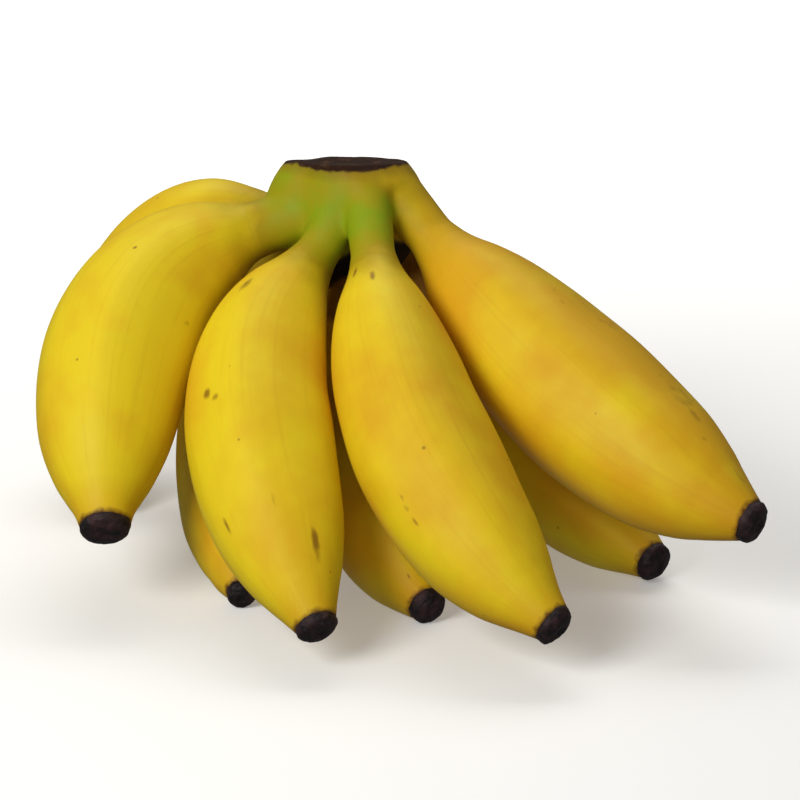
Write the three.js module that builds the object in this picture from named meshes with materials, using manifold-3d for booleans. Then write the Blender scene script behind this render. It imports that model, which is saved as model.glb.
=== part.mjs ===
// A hand of eight short, plump bananas that grew together on one crown.
// Millimetres, +Z up. The hand lies on its back row, and its fingers point towards -Y.

import * as THREE from 'three';
import { mergeVertices } from 'three/addons/utils/BufferGeometryUtils.js';
import Module from 'manifold-3d';

const wasm = await Module();
wasm.setup();

// Driving dimensions

const GAP = 0.3;                // clearance between a finger and the pieces at its two ends
const FINGER_SIDES = 20;        // facets round a finger
const FINGER_RINGS = 22;        // bands along a finger
const RIDGES = 5;               // blunt angles round a peel
const RIDGE_RISE = 0.022;       // height of an angle, as a share of the finger's radius
const STALK_SIDES = 16;         // facets round a stalk and a blossom end
const STALK_FLARE = 0.8;        // a stalk's radius grows by this much towards the crown
const STALK_ROOT = 8;           // a stalk starts this far up inside the crown
const WEB = 6;                  // neighbouring stalks are grown together over this length
const BLOSSOM_LENGTH = 2.8;     // dried flower remains at the finger's end
const MERGE = 1e-4;             // corners closer than this are one corner

// Crown: the cushion that the stalks run into, and the sloping cut across its top.
// middle: the cushion's axis; depthShare: its depth against its width; outline: half width and height
const CUSHION = {
  middle: [0, -1], depthShare: 0.58, sides: 24, rings: 18,
  outline: [[0, 57], [9, 61], [16, 69.5], [20.5, 79.5], [19.5, 86.5], [15.4, 93.3], [9, 98], [0, 99]],
};
const CUT = { height: 93.3, tiltDegrees: 11 };

// Half width along a finger, as shares of its half girth, from the stalk (0) to the blossom end (1)
const PLUMPNESS = [
  [0.06, 0.42], [0.13, 0.62], [0.21, 0.78], [0.31, 0.90], [0.41, 0.965], [0.51, 1.0],
  [0.61, 0.98], [0.71, 0.915], [0.79, 0.825], [0.87, 0.66], [0.92, 0.515], [0.96, 0.395],
];

// Outline of a blossom end: radius as a share of the tip's, height as a share of the blossom end's length
const BLOSSOM_OUTLINE = [[0.98, 0], [0.99, 0.35], [0.89, 0.7], [0.56, 0.93]];

// Each finger in the order it leaves the crown, from the left.
// girth: greatest diameter; stalk: length and radius of the stalk; tip: radius of the blossom end;
// path: a cubic curve by its root in the crown, the pulls of stalk and tip, and the blossom end.
// The crown's middle is at x = y = 0, and the resting surface is at z = 0.
const FINGERS = [
  { name: 'back_1', girth: 33.5, stalk: { length: 22, radius: 5 }, tip: 5.0,
    path: [[-6, 8, 67.5], [-30, 37, 87], [-68, 42, 53], [-60.5, -7, 2.6]] },
  { name: 'front_1', girth: 37.4, stalk: { length: 15, radius: 6.6 }, tip: 6.0,
    path: [[-5, -4, 82], [-34.6, -5.7, 73.5], [-64.6, -7.4, 69.3], [-56, -74, 22.5]] },
  { name: 'back_2', girth: 33, stalk: { length: 17, radius: 5.5 }, tip: 3.6,
    path: [[-3, 6, 87], [-33, 25, 36], [-27.5, -17, 18], [-24.5, -67, 3]] },
  { name: 'front_2', girth: 35.3, stalk: { length: 17.8, radius: 5.2 }, tip: 5.0,
    path: [[-1.3, -9, 89], [-0.5, -16.7, 65], [-42.6, -26, 66], [-4.8, -103.5, 10.3]] },
  { name: 'back_3', girth: 33, stalk: { length: 17, radius: 5.5 }, tip: 4.6,
    path: [[2, 5, 87], [5, 3, 40], [0, -36, 15], [21, -76, 4]] },
  { name: 'front_3', girth: 34.5, stalk: { length: 21, radius: 5.2 }, tip: 5.0,
    path: [[5, -9, 90], [9, -47, 57], [15, -78, 34], [50, -108, 13.2]] },
  { name: 'back_4', girth: 33, stalk: { length: 19, radius: 5.5 }, tip: 4.9,
    path: [[6, 5, 87], [29, 20, 46], [43, -12, 15], [77, -51, 5]] },
  { name: 'front_4', girth: 38.3, stalk: { length: 20, radius: 5.8 }, tip: 5.2,
    path: [[9, -5, 91], [36.3, -21.5, 60.2], [61.7, -56.2, 39], [97, -84, 29]] },
];

// Materials

const peel = new THREE.MeshStandardMaterial({ color: 0xe2bb34, roughness: 0.5, metalness: 0 });
const crownSkin = new THREE.MeshStandardMaterial({ color: 0x958f0c, roughness: 0.6, metalness: 0 });
const driedFlower = new THREE.MeshStandardMaterial({ color: 0x241711, roughness: 0.85, metalness: 0 });

// Solids

/** Turns a closed geometry into a solid, with shared corners merged and empty triangles dropped. */
function solidOf(geometry) {
  const bare = new THREE.BufferGeometry();
  bare.setAttribute('position', geometry.getAttribute('position'));
  bare.setIndex(geometry.getIndex());
  const merged = mergeVertices(bare, MERGE);
  const index = merged.getIndex().array;
  const triangles = [];
  for (let i = 0; i < index.length; i += 3) {
    const [a, b, c] = index.slice(i, i + 3);
    if (a !== b && b !== c && c !== a) triangles.push(a, b, c);
  }
  return new wasm.Manifold(new wasm.Mesh({
    numProp: 3,
    vertProperties: new Float32Array(merged.getAttribute('position').array),
    triVerts: new Uint32Array(triangles),
  }));
}

/** Names a solid and gives it its material. */
function meshOf(name, solid, material) {
  const { vertProperties, triVerts } = solid.getMesh();
  const geometry = new THREE.BufferGeometry();
  geometry.setAttribute('position', new THREE.BufferAttribute(vertProperties, 3));
  geometry.setIndex(new THREE.BufferAttribute(triVerts, 1));
  geometry.computeVertexNormals();
  const mesh = new THREE.Mesh(geometry, material);
  mesh.name = name;
  return mesh;
}

// The space under the resting surface, which leaves a small flat spot on what touches it
const BELOW = 60;
const SPAN = 500;
const floorSpace = solidOf(new THREE.BoxGeometry(SPAN, SPAN, BELOW).translate(0, 0, -BELOW / 2));

// Fingers

/** The curve that a finger follows, with the direction across its bend. */
function pathOf(finger) {
  const points = finger.path.map((point) => new THREE.Vector3(...point));
  const curve = new THREE.CubicBezierCurve3(...points);
  const [root, stalkPull, , end] = points;
  const across = stalkPull.clone().sub(root).cross(end.clone().sub(root)).normalize();
  return { curve, across, length: curve.getLength() };
}

/** Bends a shape turned round the Y axis so that its Y axis follows the path. */
function bend(geometry, { curve, across, length }) {
  const position = geometry.getAttribute('position');
  const vertex = new THREE.Vector3();
  for (let i = 0; i < position.count; i += 1) {
    vertex.fromBufferAttribute(position, i);
    const share = THREE.MathUtils.clamp(vertex.y / length, 0, 1);
    const along = curve.getTangentAt(share);
    const side = across.clone().addScaledVector(along, -across.dot(along)).normalize();
    const out = side.clone().cross(along);
    const bent = curve.getPointAt(share)
      .addScaledVector(along, vertex.y - share * length)
      .addScaledVector(side, vertex.x)
      .addScaledVector(out, vertex.z);
    position.setXYZ(i, bent.x, bent.y, bent.z);
  }
  return geometry;
}

/** Raises the blunt angles of the peel, which fade out at the finger's two ends. */
function raiseRidges(geometry, from, to) {
  const position = geometry.getAttribute('position');
  for (let i = 0; i < position.count; i += 1) {
    const [x, y, z] = [position.getX(i), position.getY(i), position.getZ(i)];
    const fade = Math.sin(Math.PI * THREE.MathUtils.clamp((y - from) / (to - from), 0, 1));
    const rise = 1 + RIDGE_RISE * fade * Math.cos(RIDGES * Math.atan2(x, z));
    position.setXYZ(i, x * rise, y, z * rise);
  }
  return geometry;
}

/** A turned shape whose outline runs up from one point on the axis to another. */
function turned(outline, sides) {
  return new THREE.LatheGeometry(outline.map(([radius, along]) => new THREE.Vector2(radius, along)), sides);
}

/** One banana, from the end of its stalk to the seat of its blossom end, swollen by a margin. */
function fingerSolid(finger, margin = 0) {
  const path = pathOf(finger);
  const from = finger.stalk.length;
  const to = path.length - BLOSSOM_LENGTH;
  const swell = PLUMPNESS.map(([share, width]) => [
    Math.max(width * finger.girth / 2, THREE.MathUtils.lerp(finger.stalk.radius, finger.tip, share)),
    THREE.MathUtils.lerp(from, to, share),
  ]);
  const corners = [[finger.stalk.radius, from], ...swell, [finger.tip, to]];
  const outline = new THREE.SplineCurve(corners.map(([radius, along]) => new THREE.Vector2(radius, along)))
    .getPoints(FINGER_RINGS)
    .map(({ x, y }) => [x + margin, y]);
  outline[0][1] -= margin;
  const body = turned([[0, from - margin], ...outline, [0, to]], FINGER_SIDES);
  return solidOf(bend(raiseRidges(body, from, to), path));
}

/** The dried, slightly flared blossom end that caps a finger. */
function blossomSolid(finger) {
  const path = pathOf(finger);
  const from = path.length - BLOSSOM_LENGTH + GAP;
  const to = path.length;
  const flare = BLOSSOM_OUTLINE.map(([width, share]) => [
    finger.tip * width,
    THREE.MathUtils.lerp(from, to, share),
  ]);
  return solidOf(bend(turned([[0, from], ...flare, [0, to]], STALK_SIDES), path));
}

// Crown

/** A finger's stalk, or the first stretch of it, which widens towards the crown and starts inside it. */
function stalkSolid(finger, length = finger.stalk.length) {
  const widthAt = (along) => finger.stalk.radius + STALK_FLARE * (1 - along / finger.stalk.length);
  const side = [0, length / 2, length].map((along) => [widthAt(along), along]);
  const outline = [[0, -STALK_ROOT], [widthAt(0), -STALK_ROOT], ...side, [0, length]];
  return solidOf(bend(turned(outline, STALK_SIDES), pathOf(finger)));
}

/** The skin that joins the stalks of one row near the crown, each to the next. */
function webSolids(row) {
  const roots = FINGERS.filter(({ name }) => name.startsWith(row)).map((finger) => stalkSolid(finger, WEB));
  return roots.slice(1).map((root, i) => wasm.Manifold.hull([roots[i], root]));
}

/** The cushion with its stalks and the skin between them, cut across and clear of every finger. */
function crownSolid() {
  const corners = CUSHION.outline.map(([halfWidth, height]) => new THREE.Vector2(halfWidth, height));
  const outline = new THREE.SplineCurve(corners).getPoints(CUSHION.rings);
  const cushion = new THREE.LatheGeometry(outline, CUSHION.sides)
    .rotateX(Math.PI / 2)
    .scale(1, CUSHION.depthShare, 1)
    .translate(...CUSHION.middle, 0);
  const above = new THREE.BoxGeometry(SPAN, SPAN, BELOW)
    .translate(0, 0, BELOW / 2)
    .rotateX(-THREE.MathUtils.degToRad(CUT.tiltDegrees))
    .translate(0, 0, CUT.height);
  const stalks = FINGERS.map((finger) => stalkSolid(finger));
  const whole = [...stalks, ...webSolids('front'), ...webSolids('back')]
    .reduce((solid, piece) => solid.add(piece), solidOf(cushion));
  const clear = FINGERS.reduce((solid, finger) => solid.subtract(fingerSolid(finger, GAP)), whole);
  return clear.subtract(solidOf(above));
}

// The hand

const hand = new THREE.Group();
hand.add(meshOf('crown', crownSolid(), crownSkin));
for (const finger of FINGERS) {
  hand.add(meshOf(`finger_${finger.name}`, fingerSolid(finger).subtract(floorSpace), peel));
  hand.add(meshOf(`blossom_${finger.name}`, blossomSolid(finger).subtract(floorSpace), driedFlower));
}

// The origin is under the middle of the hand, on the resting surface
const box = new THREE.Box3().setFromObject(hand);
const middle = box.getCenter(new THREE.Vector3());
hand.position.set(-middle.x, -middle.y, -box.min.z);
hand.updateMatrixWorld(true);

export default hand;
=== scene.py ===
"""The looks of a hand of eight short, plump bananas that grew together on one crown.

Sizes are millimetres in the crown's frame, as the fingers grew: the crown's middle is at x = y = 0, the
resting surface is at z = 0 and the fingers point towards -Y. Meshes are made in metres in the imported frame.
"""

from __future__ import annotations

import logging
import math
from dataclasses import dataclass
from enum import Enum
from functools import cached_property

import bmesh
import bpy
import numpy as np
from bpy.types import Material, Mesh, Node, NodeSocket, NodeTree
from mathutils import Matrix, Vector, noise

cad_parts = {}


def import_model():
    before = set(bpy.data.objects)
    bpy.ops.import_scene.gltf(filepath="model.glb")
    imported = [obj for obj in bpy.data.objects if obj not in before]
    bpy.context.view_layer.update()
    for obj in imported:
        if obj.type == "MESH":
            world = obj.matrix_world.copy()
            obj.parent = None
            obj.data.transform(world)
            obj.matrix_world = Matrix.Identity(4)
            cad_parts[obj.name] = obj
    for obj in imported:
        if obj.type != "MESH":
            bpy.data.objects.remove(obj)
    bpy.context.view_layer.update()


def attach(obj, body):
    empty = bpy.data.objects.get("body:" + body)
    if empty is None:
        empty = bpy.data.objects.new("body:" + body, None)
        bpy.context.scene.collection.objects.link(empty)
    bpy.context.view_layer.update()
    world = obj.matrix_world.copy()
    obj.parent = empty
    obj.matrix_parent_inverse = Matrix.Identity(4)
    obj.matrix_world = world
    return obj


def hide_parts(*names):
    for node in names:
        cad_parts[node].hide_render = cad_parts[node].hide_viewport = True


LOG = logging.getLogger("bananas")

Point = tuple[float, float, float]
Colour = tuple[float, float, float, float]

MM = 0.001
BODY = "root"
CROWN_AT: Point = (-11.742, 33.326, 0.0)  # the crown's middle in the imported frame


class Slot(Enum):
    """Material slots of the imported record."""

    PEEL = "peel"
    CROWN = "crown_skin"
    BLOSSOM = "dried_flower"


class Field(Enum):
    """Values that the meshes carry at their points for the finishes to read."""

    PEEL_MM = "peel_mm"  # place on the straightened peel, in millimetres
    GROWN_MM = "grown_mm"  # place in the crown's frame, in millimetres
    TO_TIP = "to_tip"  # distance from the blossom end, in millimetres
    RIPE = "ripe"  # how far a finger's yellow leans towards honey
    GREEN = "green"  # how unripe the skin still is: a half is olive, and one is leaf green
    STAIN = "stain"  # how bruised the skin is, and how much painted shade lies on it deep between the fingers
    CUT = "cut"  # depth under the cut across the crown, in millimetres
    HOLLOW = "hollow"  # how deep the skin lies between two stalks, where the crown gets painted shade

    @property
    def output(self) -> str:
        """The socket that a material finds the field at."""
        return "Vector" if self in (Field.PEEL_MM, Field.GROWN_MM) else "Fac"


Source = Node | NodeSocket | Field | Colour | Point | float  # what a node's socket can be given
Inputs = dict[str | int, Source]


# Helpers


def linear(code: str) -> Colour:
    """Turns an sRGB hex colour into linear values.

    Args:
        code: The colour, such as "#e6bf2a".

    Returns:
        Red, green, blue and an alpha of one.
    """
    shares = [int(code[i : i + 2], 16) / 255 for i in (1, 3, 5)]
    red, green, blue = (s / 12.92 if s <= 0.04045 else ((s + 0.055) / 1.055) ** 2.4 for s in shares)
    return red, green, blue, 1.0


def add_node(tree: NodeTree, kind: str, inputs: Inputs | None = None, **settings: object) -> Node:
    """Adds a shader node, sets it and links it.

    Args:
        tree: The material's node tree.
        kind: The node's type without its ShaderNode prefix.
        inputs: Values, sockets, nodes or a mesh's fields for its sockets, by name or place.
        **settings: The node's own properties.

    Returns:
        The node.
    """
    node = tree.nodes.new(f"ShaderNode{kind}")
    for name, value in settings.items():
        setattr(node, name, value)
    for key, value in (inputs or {}).items():
        named = [socket for socket in node.inputs if socket.enabled and socket.name == key]
        socket = node.inputs[key] if isinstance(key, int) else named[0]
        if isinstance(value, Field):
            value = add_node(tree, "Attribute", attribute_name=value.value).outputs[value.output]
        if isinstance(value, Node):
            value = next(output for output in value.outputs if output.enabled)
        if isinstance(value, NodeSocket):
            tree.links.new(value, socket)
        else:
            socket.default_value = value
    return node


def smooth_step(values: np.ndarray, low: float, high: float) -> np.ndarray:
    """Rises softly from 0 at low to 1 at high."""
    share = np.clip((values - low) / (high - low), 0, 1)
    return share * share * (3 - 2 * share)


def lumps(points: np.ndarray, size: float) -> np.ndarray:
    """Gives smooth random heights.

    Args:
        points: Places, in millimetres.
        size: How far apart the bumps are, in millimetres.

    Returns:
        A height between about -1 and 1 for each place.
    """
    return np.array([noise.noise(Vector(point)) for point in points / size])


def curve_through(corners: np.ndarray, steps: int = 16) -> np.ndarray:
    """Draws a smooth outline through its corners.

    Args:
        corners: The points that the outline passes, one a row.
        steps: Points on the stretch between two corners.

    Returns:
        The outline's points.
    """
    padded = np.vstack([2 * corners[0] - corners[1], corners, 2 * corners[-1] - corners[-2]])
    before, start, end, after = padded[:-3], padded[1:-2], padded[2:-1], padded[3:]
    drawn = []
    for t in np.linspace(0, 1, steps, endpoint=False):
        pull_in, pull_out = (end - before) / 2, (after - start) / 2
        bend = (2 * start - 2 * end + pull_in + pull_out) * t**3
        lean = (-3 * start + 3 * end - 2 * pull_in - pull_out) * t**2
        drawn.append(bend + lean + pull_in * t + start)
    return np.vstack([np.stack(drawn, axis=1).reshape(-1, corners.shape[1]), corners[-1]])


def skin_rings(name: str, rings: np.ndarray) -> Mesh:
    """Closes a stack of rings into one body with a point at each end.

    Args:
        name: The mesh's name.
        rings: Millimetres in the crown's frame, as rings by sides by three.

    Returns:
        The mesh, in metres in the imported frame, ring after ring and then the two end points.
    """
    count, sides, _ = rings.shape
    ends = np.stack([rings[0].mean(axis=0), rings[-1].mean(axis=0)])
    points = (np.vstack([rings.reshape(-1, 3), ends]) + CROWN_AT) * MM
    grid = np.arange(count * sides).reshape(count, sides)
    turned = np.roll(grid, -1, axis=1)
    faces = np.stack([grid[:-1], turned[:-1], turned[1:], grid[1:]], axis=-1).reshape(-1, 4).tolist()
    first, last = count * sides, count * sides + 1
    faces += [(first, b, a) for a, b in zip(grid[0].tolist(), turned[0].tolist())]
    faces += [(last, a, b) for a, b in zip(grid[-1].tolist(), turned[-1].tolist())]
    mesh = bpy.data.meshes.new(name)
    mesh.from_pydata(points.tolist(), [], faces)
    mesh.shade_smooth()
    return mesh


def hull_round(name: str, points: np.ndarray) -> Mesh:
    """Stretches a skin tightly round points.

    Args:
        name: The mesh's name.
        points: Millimetres in the crown's frame.

    Returns:
        The closed mesh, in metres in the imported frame.
    """
    shell = bmesh.new()
    for point in (points + CROWN_AT) * MM:
        shell.verts.new(point)
    wrapped = bmesh.ops.convex_hull(shell, input=shell.verts)
    spare = wrapped["geom_interior"] + wrapped["geom_unused"]
    inside = {part for part in spare if isinstance(part, bmesh.types.BMVert)}
    bmesh.ops.delete(shell, geom=list(inside), context="VERTS")
    mesh = bpy.data.meshes.new(name)
    shell.to_mesh(mesh)
    shell.free()
    return mesh


def keep_largest(mesh: Mesh) -> None:
    """Deletes every loose body of a mesh but the one with the most points.

    Args:
        mesh: The mesh, which is changed.
    """
    shell = bmesh.new()
    shell.from_mesh(mesh)
    left = set(shell.verts)
    bodies: list[list[bmesh.types.BMVert]] = []
    while left:
        body = [left.pop()]
        for vertex in body:
            near = {edge.other_vert(vertex) for edge in vertex.link_edges} & left
            left -= near
            body += near
        bodies.append(body)
    bodies.sort(key=len)
    loose = [vertex for body in bodies[:-1] for vertex in body]
    bmesh.ops.delete(shell, geom=loose, context="VERTS")
    shell.to_mesh(mesh)
    shell.free()


def write_field(mesh: Mesh, field: Field, values: np.ndarray) -> None:
    """Stores a number or a vector at each point of a mesh.

    Args:
        mesh: The mesh.
        field: What the values are.
        values: One number, or one row of three, for each point.
    """
    kind, key = ("FLOAT", "value") if values.ndim == 1 else ("FLOAT_VECTOR", "vector")
    layer = mesh.attributes.new(field.value, kind, "POINT")
    layer.data.foreach_set(key, values.astype(np.float32).ravel())


def places(mesh: Mesh) -> np.ndarray:
    """Reads a mesh's points back.

    Args:
        mesh: The mesh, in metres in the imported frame.

    Returns:
        The points, as millimetres in the crown's frame.
    """
    flat = np.empty(len(mesh.vertices) * 3, np.float32)
    mesh.vertices.foreach_get("co", flat)
    return flat.reshape(-1, 3) / MM - CROWN_AT


def stand_for(mesh: Mesh, node: str, material: Material) -> None:
    """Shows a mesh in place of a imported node.

    Args:
        mesh: The finished mesh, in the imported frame.
        node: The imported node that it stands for.
        material: The finish.
    """
    piece = bpy.data.objects.new(f"{node}_skin", mesh)
    bpy.context.scene.collection.objects.link(piece)
    mesh.materials.append(material)
    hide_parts(node)
    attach(piece, BODY)
    LOG.info("%s: %d faces", piece.name, len(mesh.polygons))


# Finishes


@dataclass(frozen=True)
class Grain:
    """A random pattern: the size of its patches in millimetres, and how many finer layers it has."""

    size: float
    layers: float

    def at(self, place: Source) -> Inputs:
        """Gives the settings of a noise that draws the pattern at a place in millimetres."""
        return {"Vector": place, "Scale": 1 / self.size, "Detail": self.layers}


@dataclass(frozen=True)
class Ramp:
    """How a value turns into a share: the least of it up to start, and the most of it from full on."""

    start: float
    full: float
    most: float = 1.0
    least: float = 0.0

    def over(self, value: Source) -> Inputs:
        """Gives the settings of a range that reads a value."""
        shares = {"To Min": self.least, "To Max": self.most}
        return {"Value": value, "From Min": self.start, "From Max": self.full, **shares}


def lay_over(tree: NodeTree, tone: Source, code: str, value: Source, ramp: Ramp) -> Node:
    """Lays a colour over another one, and the more of it the further a value climbs its ramp.

    Args:
        tree: The material's node tree.
        tone: The colour underneath.
        code: The colour on top, such as "#e6bf2a".
        value: What decides where the upper colour shows.
        ramp: How the value turns into a share.

    Returns:
        The node with the mixed colour.
    """
    share = add_node(tree, "MapRange", ramp.over(value))
    return add_node(tree, "Mix", {"Factor": share, "A": tone, "B": linear(code)}, data_type="RGBA")


def empty_material(name: str) -> Material:
    """Starts a material that has no nodes yet.

    Args:
        name: The real material's name.

    Returns:
        The material.
    """
    material = bpy.data.materials.new(name)
    material.use_nodes = True
    material.node_tree.nodes.clear()
    return material


@dataclass(frozen=True)
class BananaSkin:
    """Living banana skin, which grew: waxy, finely fibrous along its length, greener where it is youngest.

    The eye gets a broad satin gloss, a yellow that drifts between lemon and honey, thin streaks along the
    finger, small brown flecks where the skin has begun to ripen, and a ragged dark edge at the blossom end.
    """

    lemon: str = "#e7ca1a"
    honey: str = "#dca814"
    ochre: str = "#c48d10"
    olive: str = "#aa9005"
    leaf: str = "#8a9d05"
    fleck: str = "#6a4312"
    # Also the colour of the painted shade deep between the fingers
    bruise_and_shade: str = "#84560f"
    rind: str = "#5a3110"

    # The slow drift between yellows, and the roughness that follows it
    drift: Grain = Grain(24.0, 3.0)
    honeyed: Ramp = Ramp(0.36, 0.68)
    roughness: Ramp = Ramp(0.3, 0.7, most=0.64, least=0.5)

    # Fibres by width and length, drawn wider than the real ones, which are too fine to show
    streak_mm: tuple[float, float] = (1.4, 46.0)
    streak_layers: float = 4.0
    streaked: Ramp = Ramp(0.54, 0.8, most=0.22)

    # Patches that make the green uneven, and the green at which each tone is reached
    mottle: Grain = Grain(6.0, 4.0)
    patchy: Ramp = Ramp(0.3, 0.7, most=1.22, least=0.82)
    olive_green: Ramp = Ramp(0.0, 0.5)
    leaf_green: Ramp = Ramp(0.5, 1.0)

    # Cells for the flecks: the few cells that have one, its radius and its soft edge, as shares of a cell
    fleck_mm: float = 3.4
    fleck_radius: Ramp = Ramp(0.88, 1.0, most=0.17)
    fleck_edge: Ramp = Ramp(0.0, 0.08, most=0.6)

    # Scuffs that break up the bruises and the painted shade
    scuff: Grain = Grain(4.0, 6.0)
    bruised_and_shaded: Ramp = Ramp(0.74, 1.2, most=0.85)

    # Browning at the blossom end, in millimetres from it, and how far its rind's edge wanders
    browned: Ramp = Ramp(9.0, 1.0, most=0.5)
    wear: Grain = Grain(2.2, 3.0)
    wear_mm: float = 2.4
    rind_edge: Ramp = Ramp(2.4, 1.2, most=0.9)

    # Fine relief: pores, drawn coarser than the real ones, which are too fine to show, and the fibres
    pores: Grain = Grain(0.9, 3.0)
    fibre_rise: float = 0.6
    relief: float = 0.22
    relief_mm: float = 0.15

    # Wax, and the light that travels under it: red the furthest, and blue hardly at all
    ior: float = 1.3
    translucency: float = 0.12
    blush: tuple[float, float, float] = (1.0, 0.55, 0.08)
    blush_mm: float = 3.0

    def colour(self, tree: NodeTree) -> tuple[Node, Node, Node]:
        """Draws the skin's colour from the fields that its mesh carries.

        Args:
            tree: The material's node tree.

        Returns:
            The nodes with the colour, with the drift between tones and with the streaks.
        """
        drift = add_node(tree, "TexNoise", self.drift.at(Field.PEEL_MM))
        leaning = add_node(tree, "Math", {0: drift, 1: Field.RIPE}, operation="ADD")
        tone = lay_over(tree, linear(self.lemon), self.honey, leaning, self.honeyed)

        width, length = self.streak_mm
        shrink = (1 / width, 1 / width, 1 / length)
        drawn_out = add_node(tree, "VectorMath", {0: Field.PEEL_MM, 1: shrink}, operation="MULTIPLY")
        fibres = {"Vector": drawn_out, "Scale": 1.0, "Detail": self.streak_layers}
        streaks = add_node(tree, "TexNoise", fibres)
        tone = lay_over(tree, tone, self.ochre, streaks, self.streaked)

        mottle = add_node(tree, "TexNoise", self.mottle.at(Field.GROWN_MM))
        uneven = add_node(tree, "MapRange", self.patchy.over(mottle))
        green = add_node(tree, "Math", {0: Field.GREEN, 1: uneven}, operation="MULTIPLY")
        tone = lay_over(tree, tone, self.olive, green, self.olive_green)
        tone = lay_over(tree, tone, self.leaf, green, self.leaf_green)
        return tone, drift, streaks

    def flecks(self, tree: NodeTree, tone: Node) -> Node:
        """Sprinkles small brown flecks over the skin's colour.

        Args:
            tree: The material's node tree.
            tone: The clean skin's colour.

        Returns:
            The node with the flecked colour.
        """
        cells = add_node(tree, "TexVoronoi", {"Vector": Field.PEEL_MM, "Scale": 1 / self.fleck_mm})
        chance = add_node(tree, "SeparateColor", {"Color": cells.outputs["Color"]}).outputs["Red"]
        radius = add_node(tree, "MapRange", self.fleck_radius.over(chance))
        inside = add_node(tree, "Math", {0: radius, 1: cells.outputs["Distance"]}, operation="SUBTRACT")
        return lay_over(tree, tone, self.fleck, inside, self.fleck_edge)

    def bruises_and_shade(self, tree: NodeTree, tone: Node) -> Node:
        """Lays scuffs, bruises and the painted shade between the fingers over the skin's colour.

        Args:
            tree: The material's node tree.
            tone: The flecked skin's colour.

        Returns:
            The node with the bruised and shaded colour.
        """
        rubbed = add_node(tree, "TexNoise", self.scuff.at(Field.PEEL_MM))
        torn = add_node(tree, "Math", {0: rubbed, 1: Field.STAIN}, operation="ADD")
        # Bruises, and painted shade on the back stalks' ends and on the crown
        return lay_over(tree, tone, self.bruise_and_shade, torn, self.bruised_and_shaded)

    def tip(self, tree: NodeTree, tone: Node) -> Node:
        """Browns the skin towards the blossom end, up to a ragged dark rind.

        Args:
            tree: The material's node tree.
            tone: The bruised and shaded skin's colour.

        Returns:
            The node with the browned colour.
        """
        tone = lay_over(tree, tone, self.ochre, Field.TO_TIP, self.browned)
        worn = add_node(tree, "TexNoise", self.wear.at(Field.GROWN_MM))
        wander = {0: worn, 1: self.wear_mm, 2: Field.TO_TIP}
        ragged = add_node(tree, "Math", wander, operation="MULTIPLY_ADD")
        return lay_over(tree, tone, self.rind, ragged, self.rind_edge)

    def gloss(self, tree: NodeTree, drift: Node) -> Node:
        """Lets the roughness follow the slow drift between tones."""
        return add_node(tree, "MapRange", self.roughness.over(drift))

    def finish(self, tree: NodeTree, tone: Node, gloss: Node, streaks: Node) -> None:
        """Puts the skin's colour, roughness and fine relief together.

        Args:
            tree: The material's node tree.
            tone: The finished colour.
            gloss: The roughness.
            streaks: The fibres along the finger, which the relief follows.
        """
        pores = add_node(tree, "TexNoise", self.pores.at(Field.PEEL_MM))
        rise = {0: streaks, 1: self.fibre_rise, 2: pores}
        height = add_node(tree, "Math", rise, operation="MULTIPLY_ADD")
        raised = {"Height": height, "Strength": self.relief, "Distance": self.relief_mm * MM}
        bump = add_node(tree, "Bump", raised)
        looks = {
            "Base Color": tone,
            "Roughness": gloss,
            "IOR": self.ior,
            "Normal": bump,
            "Subsurface Weight": self.translucency,
            "Subsurface Radius": self.blush,
            "Subsurface Scale": self.blush_mm * MM,
        }
        shader = add_node(tree, "BsdfPrincipled", looks)
        add_node(tree, "OutputMaterial", {"Surface": shader})

    def material(self) -> Material:
        """Makes the peel's material.

        Returns:
            The material.
        """
        material = empty_material("ripe banana peel")
        tree = material.node_tree
        tone, drift, streaks = self.colour(tree)
        tone = self.tip(tree, self.bruises_and_shade(tree, self.flecks(tree, tone)))
        self.finish(tree, tone, self.gloss(tree, drift), streaks)
        return material


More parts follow.
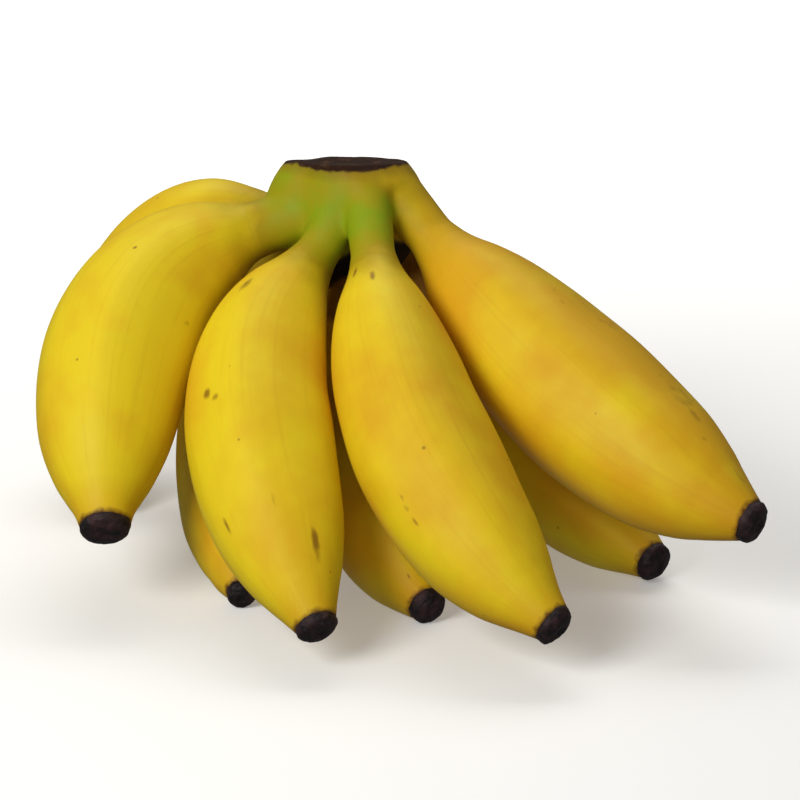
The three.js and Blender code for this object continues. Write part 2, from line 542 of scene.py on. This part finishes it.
@dataclass(frozen=True)
class CrownSkin(BananaSkin):
    """The crown's skin, with the knife's cut across it dried black.

    The eye gets green and olive stalks with fibres along them, withered skin deep between two stalks with
    brown-black painted shade over it, a brown edge where the skin shrank back from the cut, and a dull dark
    cut with paler, torn fibres in it.
    """

    scorch: str = "#6f4a12"
    char: str = "#2e1a0e"
    fibre: str = "#6a4a30"
    # Painted shade, brown-black, on the skin deep between two stalks
    recess_shade: str = "#160b07"
    roughness: Ramp = Ramp(0.3, 0.7, most=0.7, least=0.58)
    cut_roughness: float = 0.95

    # The torn cut and how far it pulls its own edge down, and both edges in millimetres under the cut
    torn: Grain = Grain(2.6, 5.0)
    torn_mm: float = -1.6
    scorched: Ramp = Ramp(3.5, 0.0, most=0.6)
    fibrous: Ramp = Ramp(0.55, 0.75, most=0.6)
    cut_edge: Ramp = Ramp(0.9, 0.3)

    def material(self) -> Material:
        """Makes the crown's material.

        Returns:
            The material.
        """
        material = empty_material("banana crown skin with a dried cut")
        tree = material.node_tree
        tone, drift, streaks = self.colour(tree)
        tone = self.bruises_and_shade(tree, self.flecks(tree, tone))
        # Painted shade: the skin deep between two stalks turns brown-black
        withered = {"Factor": Field.HOLLOW, "A": tone, "B": linear(self.recess_shade)}
        tone = add_node(tree, "Mix", withered, data_type="RGBA")

        torn = add_node(tree, "TexNoise", self.torn.at(Field.GROWN_MM))
        pulled = {0: torn, 1: self.torn_mm, 2: Field.CUT}
        ragged = add_node(tree, "Math", pulled, operation="MULTIPLY_ADD")
        tone = lay_over(tree, tone, self.scorch, ragged, self.scorched)
        dried = lay_over(tree, linear(self.char), self.fibre, torn, self.fibrous)
        share = add_node(tree, "MapRange", self.cut_edge.over(ragged))
        tone = add_node(tree, "Mix", {"Factor": share, "A": tone, "B": dried}, data_type="RGBA")
        dulled = {"Factor": share, "A": self.gloss(tree, drift), "B": self.cut_roughness}
        self.finish(tree, tone, add_node(tree, "Mix", dulled), streaks)
        return material


@dataclass(frozen=True)
class DriedBlossom:
    """Dried banana flower, which withered on the fruit: dark, brittle and fibrous.

    The eye gets a dull brown-black with paler ash on the raised fibres, and no gloss but a faint edge.
    """

    char: str = "#100808"
    umber: str = "#3a2323"
    ash: str = "#514450"
    patches: Grain = Grain(3.0, 4.0)
    browned: Ramp = Ramp(0.4, 0.7)
    fibres: Grain = Grain(0.9, 5.0)  # drawn coarser than the real ones, which are too fine to show
    ashen: Ramp = Ramp(0.56, 0.8, most=0.4)
    roughness: float = 0.62
    ior: float = 1.36
    relief: float = 0.8
    relief_mm: float = 0.4

    def material(self) -> Material:
        """Makes the blossom end's material.

        Returns:
            The material.
        """
        material = empty_material("dried banana flower")
        tree = material.node_tree
        patches = add_node(tree, "TexNoise", self.patches.at(Field.PEEL_MM))
        tone = lay_over(tree, linear(self.char), self.umber, patches, self.browned)
        fibres = add_node(tree, "TexNoise", self.fibres.at(Field.PEEL_MM))
        tone = lay_over(tree, tone, self.ash, fibres, self.ashen)
        raised = {"Height": fibres, "Strength": self.relief, "Distance": self.relief_mm * MM}
        bump = add_node(tree, "Bump", raised)
        looks = {"Base Color": tone, "Roughness": self.roughness, "IOR": self.ior, "Normal": bump}
        shader = add_node(tree, "BsdfPrincipled", looks)
        add_node(tree, "OutputMaterial", {"Surface": shader})
        return material


@dataclass(frozen=True)
class StudioPaper:
    """Matt white paper on a light table, which gives the eye an even, pale ground."""

    white: str = "#efeeeb"
    roughness: float = 0.9
    glow: float = 0.26

    def material(self) -> Material:
        """Makes the floor's material.

        Returns:
            The material.
        """
        material = empty_material("matt studio paper")
        tree = material.node_tree
        white = linear(self.white)
        shining = {"Emission Color": white, "Emission Strength": self.glow}
        looks = {"Base Color": white, "Roughness": self.roughness, **shining}
        shader = add_node(tree, "BsdfPrincipled", looks)
        add_node(tree, "OutputMaterial", {"Surface": shader})
        return material


# Fingers


@dataclass(frozen=True)
class Mark:
    """One bruise on a finger, or a patch of painted shade on a stalk's end deep between the fingers.

    along: share of the way from stalk to blossom end; turn: degrees round the finger from the outside of
    its bend; length and width in millimetres; depth: 1 for a dark one.
    """

    along: float
    turn: float
    length: float
    width: float
    depth: float


@dataclass(frozen=True)
class Growth:
    """How one finger grew: its driving sizes, and its path by root, pulls of stalk and tip, and end.

    girth: the fullest part's thickness; stalk_radius: where the stalk ends; tip: the radius at the blossom
    end; ripe: how far the yellow leans towards honey; green: how unripe the stalk still is.
    """

    name: str
    girth: float
    stalk_length: float
    stalk_radius: float
    tip: float
    ripe: float
    green: float
    path: tuple[Point, Point, Point, Point]
    marks: tuple[Mark, ...] = ()

    # Share of the way from stalk to blossom end, and the radius there as a share of the fullest
    plumpness = (
        (0.06, 0.42), (0.13, 0.62), (0.21, 0.78), (0.31, 0.90), (0.41, 0.965), (0.51, 1.0),
        (0.61, 0.98), (0.71, 0.915), (0.79, 0.825), (0.87, 0.66), (0.92, 0.515), (0.96, 0.395),
    )
    blossom_length = 2.8
    stalk_flare = 0.8
    samples = 600
    green_ends = (-9.0, 16.0)  # where the green thins out and stops, past the stalk's end
    green_lobe = 6.0  # size of the lobes along the green's edge
    green_wander = 3.0  # how far they reach out
    mark_fade = 2.0  # how steeply a bruise thins out
    search_past = 8.0  # how far past the stalk's end points are set against it
    search_steps = 60
    apart = 11.0  # peels lie this many times as far apart as the blossom ends

    @cached_property
    def line(self) -> np.ndarray:
        """The finger's middle line, as many points along its cubic curve."""
        root, stalk_pull, tip_pull, end = np.array(self.path, float)
        t = np.linspace(0, 1, self.samples)[:, None]
        u = 1 - t
        return u**3 * root + 3 * u**2 * t * stalk_pull + 3 * u * t**2 * tip_pull + t**3 * end

    @cached_property
    def walked(self) -> np.ndarray:
        """Distance from the root to each point of the middle line."""
        return np.concatenate([[0], np.cumsum(np.linalg.norm(np.diff(self.line, axis=0), axis=1))])

    @property
    def seat(self) -> float:
        """Distance from the root to the seat of the blossom end."""
        return self.walked[-1] - self.blossom_length

    def frame_at(self, reach: np.ndarray) -> tuple[np.ndarray, np.ndarray, np.ndarray, np.ndarray]:
        """Finds the cross-sections of the finger.

        Args:
            reach: Distances from the root.

        Returns:
            The middle of each section, and its directions along the finger, to the side and outwards.
        """
        slope = np.gradient(self.line, axis=0)
        middle, along = (
            np.stack([np.interp(reach, self.walked, values[:, axis]) for axis in range(3)], axis=1)
            for values in (self.line, slope)
        )
        along /= np.linalg.norm(along, axis=1, keepdims=True)
        middle += along * (reach - np.clip(reach, 0, self.walked[-1]))[:, None]
        root, stalk_pull, _, end = np.array(self.path, float)
        across = np.cross(stalk_pull - root, end - root)
        side = across - along * (along @ across)[:, None]
        side /= np.linalg.norm(side, axis=1, keepdims=True)
        return middle, along, side, np.cross(side, along)

    def radius_at(self, reach: np.ndarray) -> np.ndarray:
        """Gives the radius of the stalk and the finger, without ridges.

        Args:
            reach: Distances from the root.

        Returns:
            The radius at each of them.
        """
        span = self.seat - self.stalk_length
        swell = [
            (
                self.stalk_length + share * span,
                max(width * self.girth / 2, self.stalk_radius + share * (self.tip - self.stalk_radius)),
            )
            for share, width in self.plumpness
        ]
        corners = [(self.stalk_length, self.stalk_radius), *swell, (self.seat, self.tip)]
        outline = curve_through(np.array(corners))
        stalk = self.stalk_radius + self.stalk_flare * (1 - reach / self.stalk_length)
        return np.where(reach < self.stalk_length, stalk, np.interp(reach, outline[:, 0], outline[:, 1]))

    def rings(self, reach: np.ndarray, radius: np.ndarray, turns: np.ndarray) -> np.ndarray:
        """Places rings round the finger's middle line.

        Args:
            reach: Distance of each ring from the root.
            radius: Radius at each ring, or at each ring and turn.
            turns: Angles round the finger, from the outside of its bend.

        Returns:
            Points as rings by sides by three.
        """
        middle, _, side, out = self.frame_at(reach)
        radius = np.broadcast_to(radius.reshape(len(reach), -1), (len(reach), len(turns)))[..., None]
        sideways = side[:, None] * np.sin(turns)[None, :, None]
        outwards = out[:, None] * np.cos(turns)[None, :, None]
        return middle[:, None] + radius * (sideways + outwards)

    def green_at(self, reach: np.ndarray, points: np.ndarray) -> np.ndarray:
        """Tells how green the skin is.

        Args:
            reach: Distances from the root.
            points: The same places, as millimetres in the crown's frame.

        Returns:
            A share from 0 to 1 for each place.
        """
        past = reach - self.stalk_length + self.green_wander * lumps(points, self.green_lobe)
        return self.green * (1 - smooth_step(past, *self.green_ends))

    def stain_and_shade_at(self, reach: np.ndarray, turn: np.ndarray) -> np.ndarray:
        """Tells how bruised the skin is, and how much painted shade lies on it.

        Args:
            reach: Distances from the root.
            turn: Angles round the finger, one for each distance.

        Returns:
            A depth from 0 for each place.
        """
        span = self.seat - self.stalk_length
        stain = np.zeros_like(reach)
        for mark in self.marks:
            up = (reach - self.stalk_length - mark.along * span) / mark.length
            swing = np.remainder(turn - math.radians(mark.turn) + math.pi, 2 * math.pi) - math.pi
            across = swing * self.girth / 2 / mark.width
            stain = np.maximum(stain, mark.depth * np.exp(-self.mark_fade * (up**2 + across**2)))
        return stain

    def locate(self, points: np.ndarray) -> tuple[np.ndarray, np.ndarray, np.ndarray]:
        """Finds where points lie against the stalk.

        Args:
            points: Millimetres in the crown's frame.

        Returns:
            Height over the stalk's skin, distance from the root, and angle round the stalk.
        """
        reach = np.linspace(0, self.stalk_length + self.search_past, self.search_steps)
        middle, along, side, out = self.frame_at(reach)
        arms = points[:, None] - middle[None]
        near = np.argmin((arms**2).sum(axis=2), axis=1)
        arm = arms[np.arange(len(points)), near]
        turn = np.arctan2((arm * side[near]).sum(axis=1), (arm * out[near]).sum(axis=1))
        exact = reach[near] + (arm * along[near]).sum(axis=1)
        return np.linalg.norm(arm, axis=1) - self.radius_at(reach)[near], exact, turn

    def on_peel(self, reach: np.ndarray, turn: np.ndarray) -> np.ndarray:
        """Gives places on the straightened peel, which lies clear of the other fingers' peels.

        Args:
            reach: Distances from the root.
            turn: Angles round the finger, one for each distance.

        Returns:
            The places, in millimetres.
        """
        half = self.girth / 2
        start = self.apart * self.path[-1][0]
        return np.stack([half * np.cos(turn), half * np.sin(turn), start + reach], axis=-1)


# The eight fingers in the order they leave the crown, from the left
GROWTHS = (
    Growth(
        name="back_1", girth=33.5, stalk_length=22, stalk_radius=5, tip=5.0, ripe=0.08, green=0.6,
        path=((-6, 8, 67.5), (-30, 37, 87), (-68, 42, 53), (-60.5, -7, 2.6)),
    ),
    Growth(
        name="front_1", girth=37.4, stalk_length=15, stalk_radius=6.6, tip=6.0, ripe=-0.14, green=0.8,
        path=((-5, -4, 82), (-34.6, -5.7, 73.5), (-64.6, -7.4, 69.3), (-56, -74, 22.5)),
        marks=(
            Mark(0.328, 93, 1.0, 0.8, 1.0), Mark(0.314, 105, 1.4, 0.9, 0.5), Mark(0.426, 93, 3.5, 1.8, 0.35),
            Mark(0.355, 72, 1.2, 0.9, 0.4), Mark(0.446, 21, 2.6, 1.6, 0.4),
        ),
    ),
    Growth(
        name="back_2", girth=33, stalk_length=17, stalk_radius=5.5, tip=3.6, ripe=0.0, green=0.6,
        path=((-3, 6, 87), (-33, 25, 36), (-27.5, -17, 18), (-24.5, -67, 3)),
    ),
    Growth(
        name="front_2", girth=35.3, stalk_length=17.8, stalk_radius=5.2, tip=5.0, ripe=-0.06, green=0.95,
        path=((-1.3, -9, 89), (-0.5, -16.7, 65), (-42.6, -26, 66), (-4.8, -103.5, 10.3)),
        marks=(
            Mark(0.185, 30, 4.0, 3.0, 0.6), Mark(0.47, 38, 2.4, 1.8, 0.85), Mark(0.489, 29, 1.5, 1.8, 0.7),
            Mark(0.762, 51, 3.2, 0.8, 0.65), Mark(0.768, -1, 3.0, 0.9, 0.4), Mark(0.861, -33, 6.0, 2.2, 0.9),
            Mark(0.65, 76, 2.6, 1.6, 0.35),
        ),
    ),
    Growth(
        name="back_3", girth=33, stalk_length=17, stalk_radius=5.5, tip=4.6, ripe=0.1, green=0.6,
        path=((2, 5, 87), (5, 3, 40), (0, -36, 15), (21, -76, 4)),
        # The first mark is painted shade on the stalk's end, deep between the front fingers; the other two
        # are specks
        marks=(Mark(0.1, 40, 16.0, 9.0, 1.2), Mark(0.958, 22, 1.0, 0.9, 0.9), Mark(0.965, 4, 0.9, 0.7, 0.7)),
    ),
    Growth(
        name="front_3", girth=34.5, stalk_length=21, stalk_radius=5.2, tip=5.0, ripe=0.02, green=0.95,
        path=((5, -9, 90), (9, -47, 57), (15, -78, 34), (50, -108, 13.2)),
        marks=(
            Mark(0.071, 122, 3.0, 2.0, 0.7), Mark(0.104, 88, 3.0, 2.0, 0.7), Mark(0.64, 126, 2.2, 0.7, 0.55),
            Mark(0.668, 128, 2.4, 0.8, 0.75), Mark(0.698, 130, 2.4, 0.8, 0.75),
            Mark(0.729, 131, 2.2, 0.7, 0.5),
        ),
    ),
    Growth(
        name="back_4", girth=33, stalk_length=19, stalk_radius=5.5, tip=4.9, ripe=0.0, green=0.45,
        path=((6, 5, 87), (29, 20, 46), (43, -12, 15), (77, -51, 5)),
        # Painted shade on the stalk's end, deep between the front fingers
        marks=(Mark(0.05, 25, 16.0, 10.0, 1.3),),
    ),
    Growth(
        name="front_4", girth=38.3, stalk_length=20, stalk_radius=5.8, tip=5.2, ripe=0.13, green=0.34,
        path=((9, -5, 91), (36.3, -21.5, 60.2), (61.7, -56.2, 39), (97, -84, 29)),
        marks=(
            Mark(0.784, -36, 5.0, 3.0, 0.45), Mark(0.845, -21, 1.6, 1.2, 0.5),
            Mark(0.366, -23, 2.6, 1.6, 0.3), Mark(0.209, -34, 2.6, 1.8, 0.3),
            Mark(0.46, -46, 24.0, 5.0, 0.3), Mark(0.72, -42, 16.0, 6.0, 0.34),
            Mark(0.94, -34, 6.0, 5.0, 0.34),
        ),
    ),
)


@dataclass
class Finger:
    """One banana from its stalk's end to the seat of its blossom end."""

    growth: Growth
    sides: int = 128
    bands: int = 240
    ridges: int = 5
    ridge_rise: float = 0.022
    dent: float = 0.22
    dent_size: float = 17.0
    sink: float = 7.0  # how far it runs up inside the crown
    sink_inset: float = 0.6
    ridge_green: float = 0.06
    ridge_edge: tuple[float, float] = (0.2, 1.0)  # where a ridge's green starts and is full

    def build(self) -> Mesh:
        """Bends a ridged, slightly dented outline along the finger's path.

        Returns:
            The closed mesh, with the fields that the peel reads.
        """
        growth = self.growth
        turns = np.linspace(0, 2 * math.pi, self.sides, endpoint=False)
        reach = np.linspace(growth.stalk_length - self.sink, growth.seat, self.bands)
        share = (reach - growth.stalk_length) / (growth.seat - growth.stalk_length)
        fade = np.sin(math.pi * np.clip(share, 0, 1))[:, None]
        ridge = np.cos(self.ridges * turns)[None, :]
        buried = self.sink_inset * np.clip((growth.stalk_length - reach) / self.sink, 0, 1) ** 2
        plain = (growth.radius_at(reach) - buried)[:, None]
        straight = growth.on_peel(*np.meshgrid(reach, turns, indexing="ij")).reshape(-1, 3)
        dents = lumps(straight, self.dent_size).reshape(len(reach), -1)
        radius = plain * (1 + self.ridge_rise * fade * ridge) + self.dent * fade * dents
        rings = growth.rings(reach, radius, turns)
        rings[..., 2] = np.maximum(rings[..., 2], 0)
        mesh = skin_rings(f"finger_{growth.name}", rings)
        self.write_fields(mesh, reach, turns, straight)
        return mesh

    def write_fields(
        self, mesh: Mesh, reach: np.ndarray, turns: np.ndarray, straight: np.ndarray
    ) -> None:
        """Stores what the peel reads.

        Args:
            mesh: The finger's mesh.
            reach: Distance of each ring from the root.
            turns: Angles round the finger.
            straight: Places on the straightened peel.
        """
        growth = self.growth
        share = (reach - growth.stalk_length) / (growth.seat - growth.stalk_length)
        shape = (len(reach), len(turns))
        values = {
            Field.TO_TIP: np.broadcast_to((growth.seat - reach)[:, None], shape),
            Field.STAIN: growth.stain_and_shade_at(*np.meshgrid(reach, turns, indexing="ij")),
            Field.RIPE: np.full(shape, growth.ripe),
        }
        for field, grid in values.items():
            write_field(mesh, field, np.concatenate([grid.ravel(), [grid[0, 0], grid[-1, 0]]]))
        write_field(mesh, Field.PEEL_MM, np.vstack([straight, straight[0], straight[-1]]))
        write_field(mesh, Field.GROWN_MM, places(mesh))
        ridge = smooth_step(np.cos(self.ridges * turns), *self.ridge_edge)[None, :]
        tinted = self.ridge_green * ridge * np.sin(math.pi * np.clip(share, 0, 1))[:, None]
        stalk = growth.green_at(np.repeat(reach, len(turns)), places(mesh)[:-2])
        green = np.maximum(stalk, tinted.ravel())
        write_field(mesh, Field.GREEN, np.concatenate([green, [green[0], green[-1]]]))

    def dress(self, material: Material) -> None:
        """Builds the finger and shows it in its peel."""
        stand_for(self.build(), f"finger_{self.growth.name}", material)


@dataclass
class Blossom:
    """The dried remains of the flower that cap a finger: a lumpy dome with a pit at its end."""

    growth: Growth
    sides: int = 72
    steps: int = 7  # rings between two points of the outline
    lump: float = 0.28
    lump_size: float = 2.6
    crumb: float = 0.14
    crumb_size: float = 0.9

    # Distance from the finger's seat in millimetres, and radius as a share of the tip's
    outline = (
        (-0.9, 0.9), (-0.5, 0.97), (0.3, 1.0), (1.0, 0.99), (1.7, 0.93),
        (2.3, 0.78), (2.7, 0.55), (2.8, 0.33), (2.55, 0.15), (2.45, 0.04),
    )

    def build(self) -> Mesh:
        """Turns the outline round the finger's end and roughens it.

        Returns:
            The closed mesh, with the fields that its finish reads.
        """
        growth = self.growth
        drawn = curve_through(np.array(self.outline), self.steps)
        turns = np.linspace(0, 2 * math.pi, self.sides, endpoint=False)
        rings = growth.rings(growth.seat + drawn[:, 0], drawn[:, 1] * growth.tip, turns)
        middle = growth.frame_at(np.array([growth.seat]))[0]
        flat = rings.reshape(-1, 3)
        outward = flat - middle
        outward /= np.linalg.norm(outward, axis=1, keepdims=True)
        rough = self.lump * lumps(flat, self.lump_size) + self.crumb * lumps(flat, self.crumb_size)
        flat = flat + outward * rough[:, None]
        flat[:, 2] = np.maximum(flat[:, 2], 0)
        mesh = skin_rings(f"blossom_{growth.name}", flat.reshape(rings.shape))
        write_field(mesh, Field.PEEL_MM, places(mesh))
        return mesh

    def dress(self, material: Material) -> None:
        """Builds the blossom end and shows it withered."""
        stand_for(self.build(), f"blossom_{self.growth.name}", material)


# Crown


@dataclass
class Crown:
    """The cushion that the stalks run into, cut across at the top."""

    growths: tuple[Growth, ...]
    middle: tuple[float, float] = (0.0, -1.0)
    depth_share: float = 0.58  # the cushion's depth against its width
    cut_height: float = 93.3
    cut_tilt: float = 11.0  # degrees, towards the viewer
    cut_dish: float = 0.7
    dish_wall: tuple[float, float] = (5.0, 13.0)  # where the dish's floor ends, and where its rim starts
    overlap: float = 6.0  # how far a stalk runs on inside its finger
    overlap_inset: float = 0.25
    stalk_root: float = 8.0  # a stalk starts this far up inside the crown
    web: float = 6.0  # neighbouring stalks are grown together over this length
    web_rings: int = 6
    sides: int = 48
    steps: int = 6  # rings between two points of the outline
    voxel: float = 0.55
    softening: int = 45  # rounds
    softness: float = 0.5  # the share that one round evens out
    shrinkage: float = 0.3  # what the softening takes off a stalk
    lump: float = 0.3
    lump_size: float = 5.0
    blend: float = 1.2  # how far one stalk's green reaches into the next
    rim_green: tuple[float, float] = (0.74, 0.36)  # at the rim's left and right
    rim_span: tuple[float, float] = (-14.0, 10.0)  # where its left ends and its right starts
    rim_depth: tuple[float, float] = (2.0, 12.0)  # where it thins out and stops, under the cut
    rim_fade: float = 0.9  # how much thinner the dried rim is at its two ends
    rim_ends: tuple[float, float] = (6.0, 14.0)  # where they start and are thinnest, from the middle
    hollow_shade_depth: tuple[float, float] = (0.8, 3.0)  # where the painted shade starts and is full, away from the stalks
    hollow_shade_height: tuple[float, float] = (84.0, 77.0)  # the same for the painted shade, downwards

    # Half width and height of the cushion
    outline = ((1, 57), (9, 61), (16, 69.5), (20.5, 79.5), (19.5, 86.5), (15.4, 93.3), (9, 98), (1, 99))

    def blank(self) -> Mesh:
        """Puts the cushion and the stalks in one mesh, still crossing each other.

        Returns:
            The crossing bodies.
        """
        turns = np.linspace(0, 2 * math.pi, self.sides, endpoint=False)
        level = np.stack([np.cos(turns), self.depth_share * np.sin(turns), np.zeros_like(turns)], axis=1)
        drawn = curve_through(np.array(self.outline, float), self.steps)
        lifted = np.array([(*self.middle, height) for height in drawn[:, 1]])
        meshes = [skin_rings("cushion", drawn[:, :1, None] * level[None] + lifted[:, None])]
        for growth in self.growths:
            reach = np.linspace(-self.stalk_root, growth.stalk_length + self.overlap, self.sides)
            past = np.clip((reach - growth.stalk_length) / self.overlap, 0, 1)
            radius = self.width_at(growth, reach) - self.overlap_inset * past
            meshes.append(skin_rings(f"stalk_{growth.name}", growth.rings(reach, radius, turns)))
        meshes += self.webs(turns)
        points: list[Vector] = []
        faces: list[list[int]] = []
        for mesh in meshes:
            faces += [[len(points) + corner for corner in face.vertices] for face in mesh.polygons]
            points += [vertex.co.copy() for vertex in mesh.vertices]
            bpy.data.meshes.remove(mesh)
        whole = bpy.data.meshes.new("crown_blank")
        whole.from_pydata(points, [], faces)
        return whole

    def width_at(self, growth: Growth, reach: np.ndarray) -> np.ndarray:
        """Gives a stalk's radius before the softening, constant above its root."""
        return growth.radius_at(np.maximum(reach, 0)) + self.shrinkage

    def webs(self, turns: np.ndarray) -> list[Mesh]:
        """Joins the stalks of each row near the crown, each to the next.

        Args:
            turns: Angles round a stalk.

        Returns:
            One closed mesh for each pair of neighbours.
        """
        meshes = []
        for row in ("front", "back"):
            members = [growth for growth in self.growths if growth.name.startswith(row)]
            for pair in zip(members, members[1:]):
                reach = np.linspace(-self.stalk_root, self.web, self.web_rings)
                rings = [growth.rings(reach, self.width_at(growth, reach), turns) for growth in pair]
                meshes.append(hull_round("web", np.vstack(rings).reshape(-1, 3)))
        return meshes

    def melted(self, blank: Mesh) -> Mesh:
        """Runs crossing bodies together into one soft skin.

        Args:
            blank: The crossing bodies, which are used up.

        Returns:
            One closed mesh.
        """
        holder = bpy.data.objects.new("crown_blank", blank)
        bpy.context.scene.collection.objects.link(holder)
        melt = holder.modifiers.new("melt", "REMESH")
        melt.mode = "VOXEL"
        melt.voxel_size = self.voxel * MM
        soften = holder.modifiers.new("soften", "SMOOTH")
        soften.factor = self.softness
        soften.iterations = self.softening
        shaped = holder.evaluated_get(bpy.context.evaluated_depsgraph_get())
        mesh = bpy.data.meshes.new_from_object(shaped)
        bpy.data.objects.remove(holder)
        bpy.data.meshes.remove(blank)
        keep_largest(mesh)
        return mesh

    def build(self) -> Mesh:
        """Melts the crown together, cuts it across and roughens the cut.

        Returns:
            The closed mesh, with the fields that the crown's skin reads.
        """
        mesh = self.melted(self.blank())
        points = places(mesh)
        lean = math.radians(self.cut_tilt)
        up = np.array((0.0, math.sin(lean), math.cos(lean)))
        height = (points - (0.0, 0.0, self.cut_height)) @ up
        rough = lumps(points, self.lump_size)
        out = np.linalg.norm((points[:, :2] - self.middle) / (1, self.depth_share), axis=1)
        ceiling = self.lump * rough - self.cut_dish * (1 - smooth_step(out, *self.dish_wall))
        points = points + up * np.minimum(ceiling - height, 0)[:, None]
        depth = np.maximum(-((points - (0.0, 0.0, self.cut_height)) @ up - ceiling), 0)
        mesh.vertices.foreach_set("co", ((points + CROWN_AT) * MM).astype(np.float32).ravel())
        mesh.shade_smooth()
        self.write_fields(mesh, points, depth)
        return mesh

    def write_fields(self, mesh: Mesh, points: np.ndarray, depth: np.ndarray) -> None:
        """Stores what the crown's skin reads.

        Args:
            mesh: The crown's mesh.
            points: Its points, as millimetres in the crown's frame.
            depth: How far each point lies under the cut.
        """
        found = [growth.locate(points) for growth in self.growths]
        over = np.stack([height for height, _, _ in found])
        greens = [growth.green_at(reach, points) for growth, (_, reach, _) in zip(self.growths, found)]
        peels = [growth.on_peel(reach, turn) for growth, (_, reach, turn) in zip(self.growths, found)]
        # The fingers' bruises and their painted shade run on onto the crown
        stains_and_shade = [growth.stain_and_shade_at(reach, turn) for growth, (_, reach, turn) in zip(self.growths, found)]
        nearest = np.argmin(over, axis=0), np.arange(len(points))
        weight = np.exp(-over / self.blend)
        weight /= weight.sum(axis=0)
        green = (weight * np.stack(greens)).sum(axis=0)
        ripe = weight.T @ np.array([growth.ripe for growth in self.growths])
        # Painted shade where the skin lies deep between two stalks, low on the crown
        hollow = smooth_step(over.min(axis=0), *self.hollow_shade_depth)
        hollow *= smooth_step(points[:, 2], *self.hollow_shade_height)
        left, right = self.rim_green
        rim = left + (right - left) * smooth_step(points[:, 0], *self.rim_span)
        green = rim + (green - rim) * smooth_step(depth, *self.rim_depth)
        thinner = self.rim_fade * smooth_step(np.abs(points[:, 0]), *self.rim_ends)
        write_field(mesh, Field.CUT, depth + thinner)
        write_field(mesh, Field.RIPE, ripe)
        write_field(mesh, Field.GREEN, green)
        write_field(mesh, Field.HOLLOW, hollow)
        write_field(mesh, Field.GROWN_MM, points)
        write_field(mesh, Field.STAIN, np.stack(stains_and_shade)[nearest])
        write_field(mesh, Field.PEEL_MM, np.stack(peels)[nearest])

    def dress(self, material: Material) -> None:
        """Builds the crown and shows it in its skin."""
        stand_for(self.build(), "crown", material)


# Studio


class Lamp(Enum):
    """The studio's soft lights: place, aim and side in metres, spread in degrees, power in watts."""

    KEY = ((-0.42, -0.52, 0.47), (0.0, 0.0, 0.04), 0.35, 180.0, 4.3)
    FILL = ((0.1, -0.9, 0.12), (0.02, 0.0, 0.03), 0.5, 180.0, 1.5)
    BACK = ((0.0, 0.75, 0.85), (0.0, 0.68, 0.0), 0.9, 100.0, 4.2)


@dataclass
class Studio:
    """The pale floor, the soft lights and the camera."""

    aim: Point = (13.5, -21.4, 37.4)  # what the camera looks at, millimetres in the crown's frame
    away: float = 800.0
    elevation: float = 20.0
    lens: float = 144.0
    sensor: float = 36.0
    floor_side: float = 8000.0
    sky: str = "#ffffff"
    sky_strength: float = 0.17

    def floor(self) -> None:
        """Lays the paper on the resting surface."""
        half = self.floor_side / 2 * MM
        mesh = bpy.data.meshes.new("floor")
        corners = [(-half, -half, 0), (half, -half, 0), (half, half, 0), (-half, half, 0)]
        mesh.from_pydata(corners, [], [(0, 1, 2, 3)])
        mesh.materials.append(StudioPaper().material())
        paper = bpy.data.objects.new("floor", mesh)
        # Light thrown back by the paper would fill the deep shade between the fingers
        paper.visible_diffuse = False
        paper.visible_glossy = False
        bpy.context.scene.collection.objects.link(paper)

    def lights(self) -> None:
        """Hangs the lamps and lights the room evenly."""
        for lamp in Lamp:
            place, aim, side, spread, power = lamp.value
            data = bpy.data.lights.new(lamp.name.lower(), "AREA")
            data.size = side
            data.spread = math.radians(spread)
            data.energy = power
            light = bpy.data.objects.new(data.name, data)
            light.location = place
            light.rotation_euler = (Vector(aim) - Vector(place)).to_track_quat("-Z", "Y").to_euler()
            bpy.context.scene.collection.objects.link(light)
        world = bpy.data.worlds.new("room")
        world.use_nodes = True
        room = world.node_tree.nodes["Background"]
        room.inputs["Color"].default_value = linear(self.sky)
        room.inputs["Strength"].default_value = self.sky_strength
        bpy.context.scene.world = world

    def camera(self) -> None:
        """Stands the camera in front of the hand, looking a little down on it."""
        target = (Vector(self.aim) + Vector(CROWN_AT)) * MM
        rise = math.radians(self.elevation)
        back = Vector((0.0, -math.cos(rise), math.sin(rise)))
        data = bpy.data.cameras.new("camera")
        data.lens = self.lens
        data.sensor_width = self.sensor
        eye = bpy.data.objects.new("camera", data)
        eye.location = target + back * self.away * MM
        eye.rotation_euler = (-back).to_track_quat("-Z", "Y").to_euler()
        bpy.context.scene.collection.objects.link(eye)
        bpy.context.scene.camera = eye
        bpy.context.scene.view_settings.view_transform = "Standard"

    def build(self) -> None:
        """Sets up the floor, the lights and the camera."""
        self.floor()
        self.lights()
        self.camera()
        LOG.info("studio: floor, %d lamps and camera", len(Lamp))


def main() -> None:
    """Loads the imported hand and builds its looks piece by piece."""
    logging.basicConfig(level=logging.INFO, format="%(name)s %(message)s")
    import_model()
    Studio().build()
    Crown(GROWTHS).dress(CrownSkin().material())
    peel = BananaSkin().material()
    withered = DriedBlossom().material()
    for growth in GROWTHS:
        Finger(growth).dress(peel)
        Blossom(growth).dress(withered)


if __name__ == "__main__":
    main()
